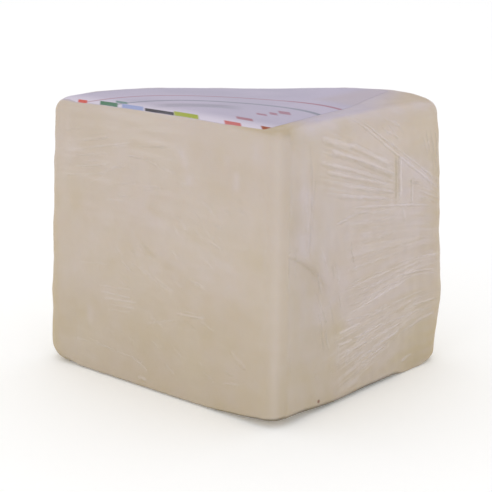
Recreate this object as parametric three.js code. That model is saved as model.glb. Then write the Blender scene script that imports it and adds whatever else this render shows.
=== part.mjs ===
// A hand-cut quarter of a cheese wheel with the paper label on its top and clear film around both.
// Sizes are in millimetres. The tip points to -Y, the rind is at +Y and the foot lies at z = 0.
import * as THREE from 'three';

// the wheel and the two cuts that meet at the tip
const WHEEL_RADIUS = 133.5;
const HEIGHT = 124;
const TIP_ANGLE = THREE.MathUtils.degToRad(91.5);
const RIGHT_CUT = 116.5;
const LEFT_CUT = 135;
const TIP_ROUND = 7;
const RIGHT_CORNER_ROUND = 10;
const LEFT_CORNER_ROUND = 8;

// the rind is wider at the foot than at the top, and swells between them
const RIGHT_LEAN = 3;
const LEFT_LEAN = 7;
const RIGHT_SWELL = 2.4;
const LEFT_SWELL = 0.4;

// low on the right corner the rind bulges
const BULGE = 1.5;
const BULGE_HEIGHT = 43;
const BULGE_REACH = 15;

// the top sinks towards the rim and rises again at the two shoulders; the tip is lifted at the foot, and
// drawn to the right by TIP_SHIFT at the foot and by TIP_LEAN more at the top
const TOP_SINK = 4.8;
const RIGHT_SHOULDER = 3.1;
const LEFT_SHOULDER = 2;
const SHOULDER_WAVE = 2.75;
const TOP_SLOPE = 0.01;
const RELIEF_REACH = 125;
const TIP_LIFT = 2.9;
const TIP_LIFT_REACH = 38;
const TIP_LIFT_SHARE = 0.3;
const TIP_SHIFT = 0.15;
const TIP_LEAN = 1.5;
const TIP_LEAN_REACH = 45;

// the top droops at the two rind corners
const CORNER_DROPS = [
  { x: 83.45, y: 81.3, drop: 2.6, reach: 20 },
  { x: -96.7, y: 94.2, drop: 4.2, reach: 18 },
];

// label and film are drawn thicker than paper and film, with a small gap between the pieces
const GAP = 0.3;
const LABEL_THICKNESS = 0.35;
const LABEL_MARGIN = 0.5;
const LABEL_EDGES = [
  { x: 14.5, y: 30.75, turn: THREE.MathUtils.degToRad(-42.7) },
  { x: 48.75, y: 76.75, turn: THREE.MathUtils.degToRad(-29.7) },
];
const FILM_THICKNESS = 0.35;
const FILM_SIDE_GAP = 0.4;
const FILM_HEM_TILT = THREE.MathUtils.degToRad(-35);

// the six stretches of the outline, with the rounding of the top and foot edges along each
const STRETCHES = [
  { name: 'rightCut', steps: 15, topRound: 8, footRound: 4, rind: 0 },
  { name: 'rightCorner', steps: 5, topRound: 4, footRound: 8, rind: 1 },
  { name: 'rim', steps: 26, topRound: 3, footRound: 8, rind: 1 },
  { name: 'leftCorner', steps: 5, topRound: 4, footRound: 10, rind: 1 },
  { name: 'leftCut', steps: 15, topRound: 2.5, footRound: 2.5, rind: 0 },
  { name: 'tip', steps: 5, topRound: 4, footRound: 3, rind: 0 },
];
const BLEND = 9;
const BLEND_SAMPLES = 12;

// rows of the surface: shares of the way across foot and top, and steps of the walls and rounded edges
const FOOT_SHARES = [0, 0.45, 0.78];
const TOP_SHARES = [0.94, 0.84, 0.62, 0.36, 0];
const LABEL_SHARES = [1, 0.94, 0.84, 0.62, 0.36, 0];
const WALL_STEPS = 10;
const ROUND_STEPS = 3;

const middle = new THREE.Vector2(0, 65);

const direction = (angle) => new THREE.Vector2(Math.cos(angle), Math.sin(angle));
const smooth = (x) => THREE.MathUtils.smoothstep(x, 0, 1);
const lerp = THREE.MathUtils.lerp;

// centre of the wheel: in front of the chord between the two corners, one radius from both
function wheelCentre(rightEnd, leftEnd) {
  const chord = rightEnd.clone().sub(leftEnd);
  const depth = Math.sqrt(WHEEL_RADIUS ** 2 - (chord.length() / 2) ** 2);
  const inFront = new THREE.Vector2(chord.y, -chord.x).normalize();
  return rightEnd.clone().add(leftEnd).multiplyScalar(0.5).addScaledVector(inFront, depth);
}

// circle of the given radius that touches a cut from inside and the rim from inside
function cornerCircle(along, inward, radius, wheel) {
  const base = inward.clone().multiplyScalar(radius).sub(wheel);
  const half = along.dot(base);
  const reach = Math.sqrt(half ** 2 - base.lengthSq() + (WHEEL_RADIUS - radius) ** 2) - half;
  const centre = along.clone().multiplyScalar(reach).addScaledVector(inward, radius);
  return { centre, reach, angle: centre.clone().sub(wheel).angle() };
}

// the outline seen from above, counter-clockwise from the tip, one curve to each stretch
function outlineCurves() {
  const rightAngle = (Math.PI - TIP_ANGLE) / 2;
  const leftAngle = rightAngle + TIP_ANGLE;
  const quarter = Math.PI / 2;
  const right = direction(rightAngle);
  const left = direction(leftAngle);
  const wheel = wheelCentre(right.clone().multiplyScalar(RIGHT_CUT), left.clone().multiplyScalar(LEFT_CUT));
  const rightCorner = cornerCircle(right, direction(rightAngle + quarter), RIGHT_CORNER_ROUND, wheel);
  const leftCorner = cornerCircle(left, direction(leftAngle - quarter), LEFT_CORNER_ROUND, wheel);
  const tipReach = TIP_ROUND / Math.tan(TIP_ANGLE / 2);
  const tipCentre = new THREE.Vector2(0, TIP_ROUND / Math.sin(TIP_ANGLE / 2));
  const arc = (c, r, from, to) => new THREE.EllipseCurve(c.x, c.y, r, r, from, to);
  const line = (way, from, to) => new THREE.LineCurve(
    way.clone().multiplyScalar(from), way.clone().multiplyScalar(to));
  return [
    line(right, tipReach, rightCorner.reach),
    arc(rightCorner.centre, RIGHT_CORNER_ROUND, rightAngle - quarter, rightCorner.angle),
    arc(wheel, WHEEL_RADIUS, rightCorner.angle, leftCorner.angle),
    arc(leftCorner.centre, LEFT_CORNER_ROUND, leftCorner.angle, leftAngle + quarter),
    line(left, leftCorner.reach, tipReach),
    arc(tipCentre, TIP_ROUND, leftAngle + quarter, rightAngle + 3 * quarter),
  ];
}

// a value of the stretches around a place on the outline: its mean within BLEND on either side
function blended(key, place, ends) {
  const total = ends[ends.length - 1];
  let sum = 0;
  for (let i = 0; i < BLEND_SAMPLES; i += 1) {
    const shift = BLEND * ((2 * i + 1) / BLEND_SAMPLES - 1);
    const at = THREE.MathUtils.euclideanModulo(place + shift, total);
    sum += STRETCHES[ends.findIndex((end) => at < end)][key];
  }
  return sum / BLEND_SAMPLES;
}

// columns of the surface: a point of the outline, its outward normal and what is shaped there
function outlineColumns() {
  const curves = outlineCurves();
  const ends = [];
  curves.forEach((curve, i) => ends.push(curve.getLength() + (ends[i - 1] ?? 0)));
  return curves.flatMap((curve, i) => Array.from({ length: STRETCHES[i].steps }, (_, k) => {
    const share = k / STRETCHES[i].steps;
    const point = curve.getPointAt(share);
    const tangent = curve.getTangentAt(share);
    const normal = new THREE.Vector2(tangent.y, -tangent.x);
    const place = (ends[i - 1] ?? 0) + share * curve.getLength();
    const rightShare = THREE.MathUtils.smoothstep(point.x, -90, 90);
    const rind = blended('rind', place, ends);
    return {
      point,
      normal,
      reach: point.clone().sub(middle).dot(normal),
      topRound: blended('topRound', place, ends),
      footRound: blended('footRound', place, ends),
      lean: rind * lerp(LEFT_LEAN, RIGHT_LEAN, rightShare),
      swell: rind * lerp(LEFT_SWELL, RIGHT_SWELL, rightShare),
      bulge: rind * BULGE * THREE.MathUtils.smoothstep(point.x, 20, 80),
    };
  }));
}

// how far the top stands above or below HEIGHT at a place
function topRelief(x, y) {
  const out = Math.hypot(x, y) / RELIEF_REACH;
  const shoulder = x > 0 ? RIGHT_SHOULDER : LEFT_SHOULDER;
  const wave = Math.sin(SHOULDER_WAVE * Math.atan2(x, y)) ** 2;
  const droop = CORNER_DROPS.reduce(
    (sum, corner) => sum + corner.drop * smooth(1 - Math.hypot(x - corner.x, y - corner.y) / corner.reach), 0);
  return out ** 2 * (shoulder * wave - TOP_SINK) - TOP_SLOPE * x - droop;
}

// a point of the cheese's skin, drawn in from the outline by inset, and moved off the skin by offset
function skinPoint(column, { inset, z, tilt }, offset) {
  const level = z / HEIGHT;
  const bulge = column.bulge * Math.exp(-(((z - BULGE_HEIGHT) / BULGE_REACH) ** 2));
  const out = column.lean * (0.5 - level) + column.swell * 4 * level * (1 - level) + bulge;
  const flat = column.point.clone().addScaledVector(column.normal, out).sub(middle);
  flat.multiplyScalar(1 - inset / column.reach).add(middle);
  const tipWay = flat.length();
  const tipRise = TIP_LIFT * smooth(1 - tipWay / TIP_LIFT_REACH) * (1 - smooth(level / TIP_LIFT_SHARE));
  const side = (TIP_SHIFT + TIP_LEAN * level) * smooth(1 - tipWay / TIP_LEAN_REACH);
  return new THREE.Vector3(
    flat.x + side + offset * Math.cos(tilt) * column.normal.x,
    flat.y + offset * Math.cos(tilt) * column.normal.y,
    z + topRelief(flat.x, flat.y) * smooth(level) + tipRise + offset * Math.sin(tilt));
}

// rows of the skin at a column: the rounded foot edge, the wall, the rounded top edge and the top
function footRows(column) {
  return FOOT_SHARES.map((share) => (
    { inset: column.reach - share * (column.reach - column.footRound), z: 0, tilt: -Math.PI / 2 }));
}

function footEdgeRows(column, fromTilt) {
  return Array.from({ length: ROUND_STEPS + 1 }, (_, k) => {
    const tilt = fromTilt * (1 - k / ROUND_STEPS);
    const r = column.footRound;
    return { inset: r * (1 - Math.cos(tilt)), z: r * (1 + Math.sin(tilt)), tilt };
  });
}

function wallRows(column) {
  return Array.from({ length: WALL_STEPS - 1 }, (_, k) => (
    { inset: 0, z: lerp(column.footRound, HEIGHT - column.topRound, (k + 1) / WALL_STEPS), tilt: 0 }));
}

function topRows(column) {
  const r = column.topRound;
  const edge = Array.from({ length: ROUND_STEPS + 1 }, (_, k) => {
    const tilt = (k / ROUND_STEPS) * Math.PI / 2;
    return { inset: r * (1 - Math.cos(tilt)), z: HEIGHT - r * (1 - Math.sin(tilt)), tilt };
  });
  const flat = TOP_SHARES.map((share) => (
    { inset: column.reach - share * (column.reach - r), z: HEIGHT, tilt: Math.PI / 2 }));
  return [...edge, ...flat];
}

// closed body from rows that run between two single points, each row a ring with one point to a column
function ringBody(rings) {
  const count = rings[0].length;
  const inner = rings.slice(1, -1);
  const points = [rings[0][0], ...inner.flat(), rings[rings.length - 1][0]];
  const last = points.length - 1;
  const at = (row, k) => 1 + row * count + (k % count);
  const faces = [];
  for (let k = 0; k < count; k += 1) {
    faces.push(0, at(0, k + 1), at(0, k));
    for (let row = 0; row + 1 < inner.length; row += 1) {
      faces.push(at(row, k), at(row, k + 1), at(row + 1, k + 1));
      faces.push(at(row, k), at(row + 1, k + 1), at(row + 1, k));
    }
    faces.push(last, at(inner.length - 1, k), at(inner.length - 1, k + 1));
  }
  const geometry = new THREE.BufferGeometry().setFromPoints(points);
  geometry.setIndex(faces);
  geometry.computeVertexNormals();
  return geometry;
}

// rings from the rows of each column, with the same offset rule for all of them
function rings(columns, rowsOf, offsetOf) {
  const lists = columns.map((column) => rowsOf(column).map((row) => skinPoint(column, row, offsetOf(row))));
  return lists[0].map((_, row) => lists.map((list) => list[row]));
}

function cheeseGeometry(columns) {
  const rowsOf = (column) => [
    ...footRows(column), ...footEdgeRows(column, -Math.PI / 2), ...wallRows(column), ...topRows(column)];
  return ringBody(rings(columns, rowsOf, () => 0));
}

// share of the way from the middle to a point of the outline at which a straight label edge lies
function edgeShare(edge, point) {
  const across = direction(edge.turn);
  const toEdge = new THREE.Vector2(edge.x, edge.y).sub(middle).dot(across);
  const toOutline = point.clone().sub(middle).dot(across);
  return toOutline > toEdge ? toEdge / toOutline : 1;
}

// the label covers the flat of the top as far as its two straight edges on the right
function labelGeometry(columns) {
  const rowsOf = (column) => {
    const flatShare = 1 - (column.topRound + LABEL_MARGIN) / column.reach;
    const widest = Math.min(flatShare, ...LABEL_EDGES.map((edge) => edgeShare(edge, column.point)));
    return LABEL_SHARES.map((share) => (
      { inset: column.reach * (1 - share * widest), z: HEIGHT, tilt: Math.PI / 2 }));
  };
  const under = rings(columns, rowsOf, () => GAP).reverse();
  const over = rings(columns, rowsOf, () => GAP + LABEL_THICKNESS);
  return ringBody([...under, ...over]);
}

// the film is an even skin over cheese and label, with its hem turned in below the foot edge
function filmGeometry(columns) {
  const topGap = 2 * GAP + LABEL_THICKNESS;
  const gapOf = ({ tilt }) => lerp(FILM_SIDE_GAP, topGap, tilt > 0 ? Math.sin(tilt) ** 2 : 0);
  const rowsOf = (column) => [
    ...footEdgeRows(column, FILM_HEM_TILT), ...wallRows(column), ...topRows(column)];
  const inside = rings(columns, rowsOf, gapOf).reverse();
  const outside = rings(columns, rowsOf, (row) => gapOf(row) + FILM_THICKNESS);
  return ringBody([...inside, ...outside]);
}

function mesh(name, geometry, look) {
  const body = new THREE.Mesh(geometry, new THREE.MeshStandardMaterial({ metalness: 0, ...look }));
  body.name = name;
  return body;
}

const columns = outlineColumns();
const wedge = new THREE.Group();
wedge.name = 'cheese_quarter';
wedge.add(
  mesh('cheese', cheeseGeometry(columns), { color: 0xd9cba9, roughness: 0.6 }),
  mesh('label', labelGeometry(columns), { color: 0xd2cddc, roughness: 0.7 }),
  mesh('film', filmGeometry(columns), { color: 0xe6e4ea, roughness: 0.25, transparent: true, opacity: 0.3 }));

// the middle of the box goes to the origin, with the foot at z = 0
const box = new THREE.Box3().setFromObject(wedge);
const centre = box.getCenter(new THREE.Vector3());
wedge.children.forEach((body) => body.geometry.translate(-centre.x, -centre.y, -box.min.z));

export default wedge;
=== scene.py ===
import math

import bpy
import numpy as np
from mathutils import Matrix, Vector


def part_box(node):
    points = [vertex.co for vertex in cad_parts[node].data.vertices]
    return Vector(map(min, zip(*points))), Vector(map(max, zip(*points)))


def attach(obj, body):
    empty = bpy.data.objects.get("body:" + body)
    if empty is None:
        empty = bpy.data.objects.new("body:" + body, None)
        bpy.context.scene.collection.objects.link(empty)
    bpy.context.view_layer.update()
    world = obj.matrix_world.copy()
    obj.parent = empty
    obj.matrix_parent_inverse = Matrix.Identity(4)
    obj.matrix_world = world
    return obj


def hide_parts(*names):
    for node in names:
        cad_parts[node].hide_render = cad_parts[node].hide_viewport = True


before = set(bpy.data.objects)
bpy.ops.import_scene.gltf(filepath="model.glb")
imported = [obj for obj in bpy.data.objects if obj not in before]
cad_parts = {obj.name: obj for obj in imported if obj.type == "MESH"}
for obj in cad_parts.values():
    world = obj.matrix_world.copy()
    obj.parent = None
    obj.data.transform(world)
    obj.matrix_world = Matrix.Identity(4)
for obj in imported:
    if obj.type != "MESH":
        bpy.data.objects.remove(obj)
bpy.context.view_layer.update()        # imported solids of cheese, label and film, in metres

# the wedge: a wheel cut twice, tip at the front, sizes in metres and radians
wedge = dict(
    wheelRadius=0.1335, height=0.1248, tipAngle=math.radians(91.5),
    rightCut=0.1165, leftCut=0.135,
    tipRound=0.007, rightCornerRound=0.010, leftCornerRound=0.008,
    rightLean=0.0021, leftLean=0.007,           # rind wider at the foot
    rightSwell=0.0026, leftSwell=0.0004,        # rind bulging at half height
    # bulge low on the right corner: depth, height, reach, and where it starts and over what it grows
    bulge=0.0019, bulgeHeight=0.035, bulgeReach=0.015, bulgeSide=(0.02, 0.06),
    topSink=0.0045, rightShoulder=0.0033, leftShoulder=0.002,
    shoulderWave=2.75, topSlope=0.01, reliefReach=0.125,
    tipLift=0.0025, tipLiftReach=0.042, tipLiftShare=0.3,
    tipShift=0.00015, tipLean=0.0015, tipLeanReach=0.045,       # to the right, more at the top
    # droop of the top at the two rind corners: place, depth and reach
    cornerDrops=((0.08345, 0.0813, 0.0021, 0.020), (-0.0967, 0.0942, 0.0040, 0.014)),
    middle=np.array((0.0, 0.065)),
    # stretches of the outline: right cut, right corner, rim, left corner, left cut, tip
    topRound=np.array((0.008, 0.004, 0.003, 0.004, 0.0025, 0.004)),
    footRound=np.array((0.0038, 0.0042, 0.008, 0.010, 0.0018, 0.003)),
    rind=np.array((0.0, 1.0, 1.0, 1.0, 0.0, 0.0)),
    blend=0.009,        # length over which the roundings are averaged
    sharpFoot=(0.084, 0.094, 0.010), sharpShare=0.85)       # sharper foot near the right corner
tipStart = wedge["tipRound"] / math.tan(wedge["tipAngle"] / 2)      # where the round tip meets the cuts


def unit(angle):
    # cosine and sine of an angle, the flat direction it points in
    return np.stack([np.cos(angle), np.sin(angle)], -1)


def smooth(x):
    # 0 below 0, 1 above 1, and 3x^2 - 2x^3 between
    x = np.clip(x, 0.0, 1.0)
    return x * x * (3.0 - 2.0 * x)


def window(x, low, high, soft):
    # 1 between low and high, falling smoothly to 0 over soft on both sides
    return smooth((x - low) / soft + 1.0) * smooth((high - x) / soft + 1.0)


def waves(coords, sizes, seed, count=14):
    # mean of sine waves in seeded directions, their lengths near sizes, about -1 to 1
    rng = np.random.default_rng(seed)
    total = 0.0
    for _ in range(count):
        way = rng.normal(size=len(coords))
        way *= 2 * math.pi * rng.uniform(0.6, 1.5) / np.linalg.norm(way)
        phase = sum(c * w / size for c, w, size in zip(coords, way, sizes))
        total = total + np.sin(phase + rng.uniform(0, 2 * math.pi))
    return total * math.sqrt(2.0 / count) * 0.6


def strokes(a, z, rows):
    # sum of soft straight lines, each a bell of the distance from the line between two points
    total = 0.0
    for a0, z0, a1, z1, half, strength in rows:
        da, dz = a1 - a0, z1 - z0
        fromA, fromZ = a * 1000 - a0, z * 1000 - z0
        part = np.clip((fromA * da + fromZ * dz) / (da * da + dz * dz), 0, 1)
        away = np.hypot(fromA - part * da, fromZ - part * dz)
        total = total + strength * np.exp(-(away / half) ** 2)
    return total


def patches(a, z, rows):
    # sum of soft ellipses, each a bell of the distance from its middle over its half sizes
    return sum(strength * np.exp(-((a * 1000 - a0) / ra) ** 2 - ((z * 1000 - z0) / rz) ** 2)
               for a0, z0, ra, rz, strength in rows)


def cornerCircle(along, inward, radius, wheel):
    # centre of a circle that touches a cut line and, from inside, the rim of the wheel
    base = inward * radius - wheel
    half = along @ base
    reach = math.sqrt(half ** 2 - base @ base + (wedge["wheelRadius"] - radius) ** 2) - half
    centre = along * reach + inward * radius
    return centre, reach, math.atan2(*(centre - wheel)[::-1])


def outlineColumns(steps):
    # the plan of the wedge, counter-clockwise from the tip: two lines and four arcs,
    # each split evenly, with the edge rounding averaged over a length around each point
    w = wedge
    quarter = math.pi / 2
    right = quarter - w["tipAngle"] / 2
    left = quarter + w["tipAngle"] / 2
    rightEnd, leftEnd = w["rightCut"] * unit(right), w["leftCut"] * unit(left)
    chord = rightEnd - leftEnd
    span = np.linalg.norm(chord)
    wheel = (rightEnd + leftEnd) / 2 + np.array((chord[1], -chord[0])) / span * math.sqrt(
        w["wheelRadius"] ** 2 - span ** 2 / 4)
    rightCorner = cornerCircle(unit(right), unit(right + quarter), w["rightCornerRound"], wheel)
    leftCorner = cornerCircle(unit(left), unit(left - quarter), w["leftCornerRound"], wheel)
    tipCentre = np.array((0.0, w["tipRound"] / math.sin(w["tipAngle"] / 2)))
    shares = [np.arange(n) / n for n in steps]

    def line(angle, start, end, side, share):
        reach = start + (end - start) * share
        normal = np.repeat(unit(angle + side)[None], len(share), 0)
        return reach[:, None] * unit(angle), normal, abs(end - start)

    def arc(centre, radius, start, end, share):
        normal = unit(start + (end - start) * share)
        return centre + radius * normal, normal, radius * (end - start)

    parts = [
        line(right, tipStart, rightCorner[1], -quarter, shares[0]),
        arc(rightCorner[0], w["rightCornerRound"], right - quarter, rightCorner[2], shares[1]),
        arc(wheel, w["wheelRadius"], rightCorner[2], leftCorner[2], shares[2]),
        arc(leftCorner[0], w["leftCornerRound"], leftCorner[2], left + quarter, shares[3]),
        line(left, leftCorner[1], tipStart, quarter, shares[4]),
        arc(tipCentre, w["tipRound"], left + quarter, right + 3 * quarter, shares[5])]
    ends = np.cumsum([part[2] for part in parts])
    starts = ends - [part[2] for part in parts]
    place = np.concatenate([s + share * part[2] for s, share, part in zip(starts, shares, parts)])
    shifts = np.linspace(-w["blend"], w["blend"], 25)
    around = np.searchsorted(ends, (place[:, None] + shifts) % ends[-1], side="right")
    point = np.concatenate([part[0] for part in parts])
    normal = np.concatenate([part[1] for part in parts])
    rightShare = smooth((point[:, 0] + 0.09) / 0.18)
    rind = w["rind"][around].mean(1)
    sharp = 1 - w["sharpShare"] * window(place, *w["sharpFoot"])
    bulgeFrom, bulgeOver = w["bulgeSide"]
    return dict(
        point=point, normal=normal, place=place, ends=ends, rind=rind,
        reach=((point - w["middle"]) * normal).sum(1),
        topRound=w["topRound"][around].mean(1), footRound=sharp * w["footRound"][around].mean(1),
        lean=rind * (w["leftLean"] + (w["rightLean"] - w["leftLean"]) * rightShare),
        swell=rind * (w["leftSwell"] + (w["rightSwell"] - w["leftSwell"]) * rightShare),
        bulge=rind * w["bulge"] * smooth((point[:, 0] - bulgeFrom) / bulgeOver))


def bodyRows(col, foot, edge, wall, top):
    # rows from the middle of the foot over its rounded edge, up the wall and over the top edge
    # to the middle of the top; each row has an inset from the outline, a height and a tilt
    h, footRound, topRound, reach = wedge["height"], col["footRound"], col["topRound"], col["reach"]
    share = np.linspace(0, 1, foot, endpoint=False)[:, None]
    low = (reach - share * (reach - footRound), 0 * share * reach, -math.pi / 2 + 0 * share * reach)
    tilt = np.linspace(-math.pi / 2, 0, edge)[:, None] + 0 * reach
    lowEdge = (footRound * (1 - np.cos(tilt)), footRound * (1 + np.sin(tilt)), tilt)
    share = np.linspace(0, 1, wall + 1)[1:-1, None]
    side = (0 * share * reach, footRound + share * (h - topRound - footRound), 0 * share * reach)
    tilt = np.linspace(0, math.pi / 2, edge)[:, None] + 0 * reach
    highEdge = (topRound * (1 - np.cos(tilt)), h - topRound * (1 - np.sin(tilt)), tilt)
    share = np.linspace(1, 0, top + 1)[1:, None]
    high = (reach - share * (reach - topRound), h + 0 * share * reach, math.pi / 2 + 0 * share * reach)
    return [np.concatenate(group) for group in zip(low, lowEdge, side, highEdge, high)]


def topRelief(x, y):
    # height over the nominal top: sinks with the square of the distance from the tip, rises again
    # with a squared sine of the bearing at the two shoulders, and droops around the two rind corners
    out = np.hypot(x, y) / wedge["reliefReach"]
    shoulder = np.where(x > 0, wedge["rightShoulder"], wedge["leftShoulder"])
    wave = np.sin(wedge["shoulderWave"] * np.arctan2(x, y)) ** 2
    droop = sum(drop * smooth(1 - np.hypot(x - cornerX, y - cornerY) / reach)
                for cornerX, cornerY, drop, reach in wedge["cornerDrops"])
    return out ** 2 * (shoulder * wave - wedge["topSink"]) - wedge["topSlope"] * x - droop


def skin(col, inset, z, tilt, off):
    # the outline leans, swells and bulges with height, is drawn towards the middle by inset over
    # reach, is lifted onto the uneven top and at the tip of the foot, and moves off along its tilt
    w = wedge
    level = z / w["height"]
    out = col["lean"] * (0.5 - level) + col["swell"] * 4 * level * (1 - level)
    out = out + col["bulge"] * np.exp(-((z - w["bulgeHeight"]) / w["bulgeReach"]) ** 2)
    flat = col["point"] + col["normal"] * out[..., None] - w["middle"]
    flat = flat * (1 - inset / col["reach"])[..., None] + w["middle"]
    x, y = flat[..., 0], flat[..., 1]
    tipWay = np.hypot(x, y)
    lift = w["tipLift"] * smooth(1 - tipWay / w["tipLiftReach"]) * (1 - smooth(level / w["tipLiftShare"]))
    side = (w["tipShift"] + w["tipLean"] * level) * smooth(1 - tipWay / w["tipLeanReach"])
    return np.stack([
        x + side + off * np.cos(tilt) * col["normal"][..., 0],
        y + off * np.cos(tilt) * col["normal"][..., 1],
        z + topRelief(x, y) * smooth(level) + lift + off * np.sin(tilt)], -1)


# from the tip of the wedge to the frame's origin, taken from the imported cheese
plainColumns = outlineColumns((60, 20, 80, 20, 60, 20))
plainRows = bodyRows(plainColumns, 3, 6, 12, 3)
plainSkin = skin(plainColumns, *plainRows, 0.0).reshape(-1, 3)
toFrame = np.array(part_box("cheese")).mean(0) - (plainSkin.min(0) + plainSkin.max(0)) / 2
toFrame[2] = 0.0
print("tip of the wedge at", toFrame.round(4))


def ringMesh(name, xyz, values, unrolled=None):
    # closed bodies from grids whose last direction runs round: bodies x rows x points in a ring; the
    # first and last rows of a body shrink to one point each; values are numbers for each grid point,
    # unrolled is a UV for each grid point, with the first column again behind the last
    bodies, rows, count = xyz.shape[:3]

    def flatten(grid):
        rest = grid.shape[3:]
        inner = grid[:, 1:-1].reshape((bodies, -1) + rest)
        return np.concatenate([grid[:, 0, :1], inner, grid[:, -1, :1]], 1).reshape((-1,) + rest)

    k = np.arange(count)
    ahead = (k + 1) % count
    last = 1 + count * (rows - 2)
    start = 1 + count * np.arange(rows - 3)[:, None]
    quads = np.stack([start + k, start + ahead, start + count + ahead, start + count + k], -1)
    ends = np.concatenate([np.stack([0 * k, 1 + ahead, 1 + k], -1),
                           np.stack([0 * k + last, last - count + k, last - count + ahead], -1)])
    shift = (last + 1) * np.arange(bodies)[:, None, None]
    faces = (quads.reshape(-1, 4) + shift).reshape(-1, 4).tolist()
    faces += (ends + shift).reshape(-1, 3).tolist()
    mesh = bpy.data.meshes.new(name)
    mesh.from_pydata((flatten(xyz) + toFrame).tolist(), [], faces)
    for key, grid in values.items():
        layer = mesh.attributes.new(key, "FLOAT", "POINT")
        layer.data.foreach_set("value", flatten(grid).astype(np.float32))
    if unrolled is not None:
        low, high = unrolled[:, 1:-2], unrolled[:, 2:-1]
        walls = np.stack([low[:, :, :-1], low[:, :, 1:], high[:, :, 1:], high[:, :, :-1]], -2)
        foot = np.stack([unrolled[:, 0, :-1], unrolled[:, 1, 1:], unrolled[:, 1, :-1]], -2)
        head = np.stack([unrolled[:, -1, :-1], unrolled[:, -2, :-1], unrolled[:, -2, 1:]], -2)
        corners = [walls.reshape(-1, 2), np.concatenate([foot, head], 1).reshape(-1, 2)]
        mesh.uv_layers.new(name="unrolled").data.foreach_set("uv", np.concatenate(corners).ravel())
    mesh.polygons.foreach_set("use_smooth", np.ones(len(mesh.polygons), bool))
    mesh.set_sharp_from_angle(angle=math.radians(60))
    mesh.update()
    piece = bpy.data.objects.new(name, mesh)
    bpy.context.collection.objects.link(piece)
    print(name, len(mesh.polygons), "faces")
    return piece


class Nodes:
    # small helper around one material's node tree
    def __init__(self, name):
        self.material = bpy.data.materials.new(name)
        self.material.use_nodes = True
        self.tree = self.material.node_tree
        self.shader = self.tree.nodes["Principled BSDF"]
        self.place = self.add("ShaderNodeTexCoord").outputs["Object"]

    def add(self, kind, **settings):
        node = self.tree.nodes.new(kind)
        for key, value in settings.items():
            setattr(node, key, value)
        return node

    def put(self, value, socket):
        # links another socket, or sets a plain number or colour
        if isinstance(value, bpy.types.NodeSocket):
            self.tree.links.new(value, socket)
        else:
            socket.default_value = value

    def set(self, name, value):
        self.put(value, self.shader.inputs[name])

    def math(self, operation, a, b=0.0):
        node = self.add("ShaderNodeMath", operation=operation)
        self.put(a, node.inputs[0])
        self.put(b, node.inputs[1])
        return node.outputs[0]

    def times(self, a, b):
        return self.math("MULTIPLY", a, b)

    def plus(self, a, b):
        return self.math("ADD", a, b)

    def minus(self, a, b):
        return self.math("SUBTRACT", a, b)

    def distance(self, a, b):
        return self.math("SQRT", self.plus(self.times(a, a), self.times(b, b)))

    def split(self, source):
        node = self.add("ShaderNodeSeparateXYZ")
        self.tree.links.new(source, node.inputs[0])
        return node.outputs

    def span(self, value, low, high, toLow=0.0, toHigh=1.0):
        # toLow at low, toHigh at high, and a smooth step between
        node = self.add("ShaderNodeMapRange", interpolation_type="SMOOTHSTEP")
        for socket, number in zip(node.inputs, (value, low, high, toLow, toHigh)):
            self.put(number, socket)
        return node.outputs[0]

    def blend(self, share, first, second):
        # first colour at share 0, second at 1
        node = self.add("ShaderNodeMix", data_type="RGBA")
        for socket, value in zip((node.inputs[0], node.inputs[6], node.inputs[7]), (share, first, second)):
            self.put(value, socket)
        return node.outputs[2]

    def noise(self, scale, detail=3.0, source=None):
        node = self.add("ShaderNodeTexNoise")
        node.inputs["Scale"].default_value = scale
        node.inputs["Detail"].default_value = detail
        self.tree.links.new(self.place if source is None else source, node.inputs["Vector"])
        return node.outputs["Fac"]

    def attribute(self, name):
        return self.add("ShaderNodeAttribute", attribute_name=name).outputs["Fac"]

    def bump(self, height, strength, distance):
        node = self.add("ShaderNodeBump")
        node.inputs["Strength"].default_value = strength
        node.inputs["Distance"].default_value = distance
        self.put(height, node.inputs["Height"])
        self.set("Normal", node.outputs[0])


def between(n, value, low, high, soft):
    # 1 between low and high, falling to 0 over soft on both sides of each
    return n.times(n.span(value, low - soft, low + soft), n.span(value, high + soft, high - soft))


def finishPiece(piece, material, node):
    # gives a piece its material, hangs it from the root body and hides the imported part it stands for
    piece.data.materials.append(material)
    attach(piece, "root")
    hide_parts(node)


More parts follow.
